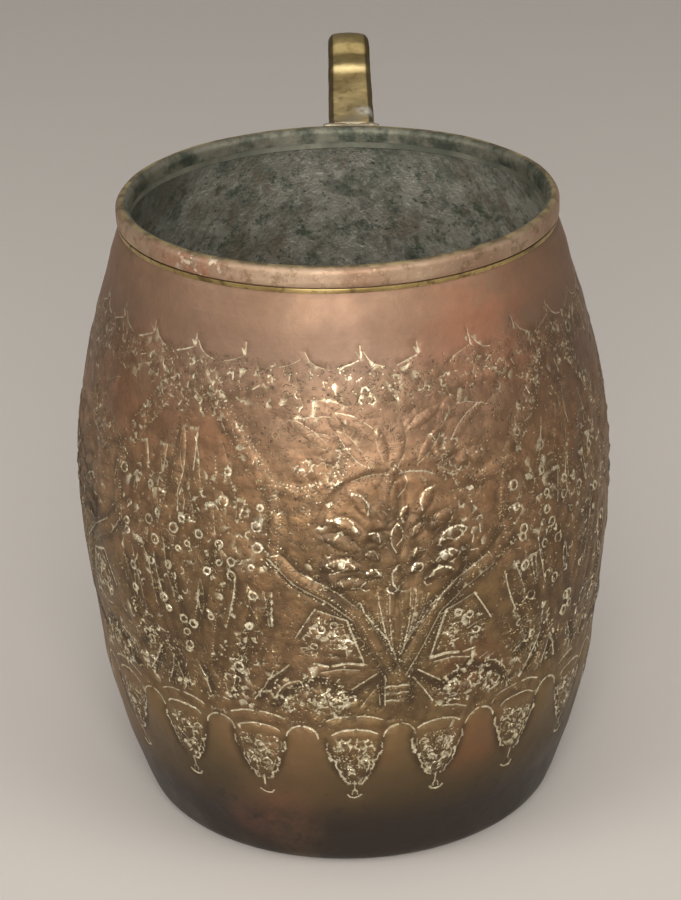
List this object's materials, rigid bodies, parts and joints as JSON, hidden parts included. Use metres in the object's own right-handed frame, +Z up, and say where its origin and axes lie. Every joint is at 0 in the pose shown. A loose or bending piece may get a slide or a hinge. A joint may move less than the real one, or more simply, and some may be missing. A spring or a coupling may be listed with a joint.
{
  "type": "mug",
  "caption": "Barrel-shaped engraved copper drinking mug with a tinned inside, a folded rim band and a cast brass strap handle with a thumb rest.",
  "frame": {"origin": "centre of the flat base, on the surface that the mug stands on", "axes": "+Z up along the barrel's axis, +Y the way that the handle points, +X to the right as seen from the side opposite the handle"},
  "size_m": [0.095, 0.1299, 0.1209],
  "materials": {
    "copper_wall": "worn brown copper, engraved",
    "copper_band": "rubbed brown copper",
    "braze": "polished yellow brass",
    "tin": "dull wiped tin with grey-green stains",
    "cast_brass": "worn cast brass, olive in the hollows",
    "solder": "grey soft solder"
  },
  "bodies": {
    "root": {"body_shell": "copper_wall", "rim_band": "copper_band", "rim_braze_outer": "braze", "rim_braze_inner": "braze", "tin_lining": "tin", "handle": "cast_brass", "handle_solder_upper": "solder", "handle_solder_lower": "solder"}
  },
  "joints": []
}
